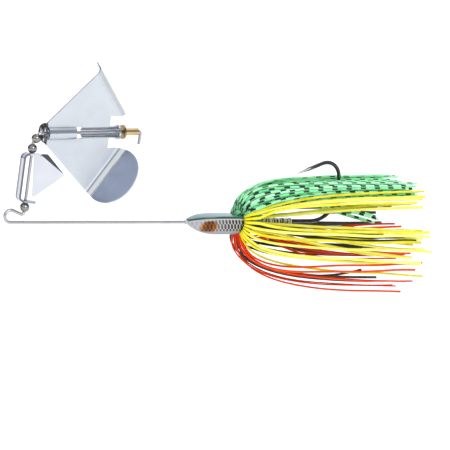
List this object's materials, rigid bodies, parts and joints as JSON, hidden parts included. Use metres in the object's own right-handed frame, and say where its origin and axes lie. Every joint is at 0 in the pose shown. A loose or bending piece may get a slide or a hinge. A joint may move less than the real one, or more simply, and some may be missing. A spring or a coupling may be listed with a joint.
{
  "type": "buzzbait lure",
  "caption": "Buzzbait lure: a bent wire with a folded-lobe blade that spins on its upper arm, a swinging clacker, round beads and a painted head with an upturned hook and a flared strand skirt.",
  "frame": {"origin": "centre of the line-tie loop at the front of the wire, in the plane of the wire", "axes": "+X back along the arm towards the hook's bend, +Z towards the blade and the hook's point, +Y across the bait, away from the camera of the picture"},
  "size_m": [0.1454, 0.0382, 0.0722],
  "materials": {
    "wire": "bright drawn stainless wire",
    "bead": "polished nickel plate",
    "clacker": "satin sheet",
    "blade": "bright pressed sheet",
    "rivet": "bright",
    "head_paint": "glossy paint with a dark back and silver scaled sides",
    "hook": "black nickel plate",
    "keeper": "clear, slightly olive",
    "band": "matt",
    "green_strand": "translucent silicone with dark bars",
    "yellow_strand": "silicone",
    "red_strand": "silicone",
    "black_strand": "silicone"
  },
  "bodies": {
    "frame": {"wire_form": "wire", "head": "head_paint", "hook": "hook", "trailer_keeper": "keeper", "skirt_band": "band", "green_strand_1": "green_strand", "green_strand_2": "green_strand", "green_strand_3": "green_strand", "green_strand_4": "green_strand", "green_strand_5": "green_strand", "green_strand_6": "green_strand", "green_strand_7": "green_strand", "green_strand_8": "green_strand", "green_strand_9": "green_strand", "yellow_strand_1": "yellow_strand", "yellow_strand_2": "yellow_strand", "yellow_strand_3": "yellow_strand", "yellow_strand_4": "yellow_strand", "yellow_strand_5": "yellow_strand", "yellow_strand_6": "yellow_strand", "yellow_strand_7": "yellow_strand", "yellow_strand_8": "yellow_strand", "yellow_strand_9": "yellow_strand", "red_strand_1": "red_strand", "red_strand_2": "red_strand", "red_strand_3": "red_strand", "red_strand_4": "red_strand", "red_strand_5": "red_strand", "black_strand_1": "black_strand", "black_strand_2": "black_strand", "black_strand_3": "black_strand", "black_strand_4": "black_strand", "black_strand_5": "black_strand", "black_strand_6": "black_strand"},
    "corner_bead": {"corner_bead": "bead"},
    "upper_bead": {"upper_bead": "bead"},
    "lower_bead": {"lower_bead": "bead"},
    "clacker": {"clacker": "clacker"},
    "rivet": {"rivet": "rivet"},
    "blade": {"blade": "blade"}
  },
  "joints": [
    {"name": "corner_bead_spin", "type": "hinge", "parent": "frame", "child": "corner_bead", "pos_m": [0.00692, 0, 0.02403], "axis": [0.5736, 0, 0.8192], "continuous": true},
    {"name": "upper_bead_spin", "type": "hinge", "parent": "frame", "child": "upper_bead", "pos_m": [0.00583, 0, 0.02094], "axis": [0.068, 0, 0.9977], "continuous": true},
    {"name": "lower_bead_spin", "type": "hinge", "parent": "frame", "child": "lower_bead", "pos_m": [0.00459, 0, 0.00284], "axis": [0.068, 0, 0.9977], "continuous": true},
    {"name": "clacker_swing", "type": "hinge", "parent": "frame", "child": "clacker", "pos_m": [0.00469, 0, 0.00431], "axis": [0.068, 0, 0.9977], "continuous": true},
    {"name": "rivet_slide", "type": "slide", "parent": "frame", "child": "rivet", "axis": [0.9996, 0, 0.0297], "range_m": [-0.0008, 0]},
    {"name": "blade_spin", "type": "hinge", "parent": "rivet", "child": "blade", "pos_m": [0.00999, 0, 0.02562], "axis": [0.9996, 0, 0.0297], "continuous": true}
  ]
}
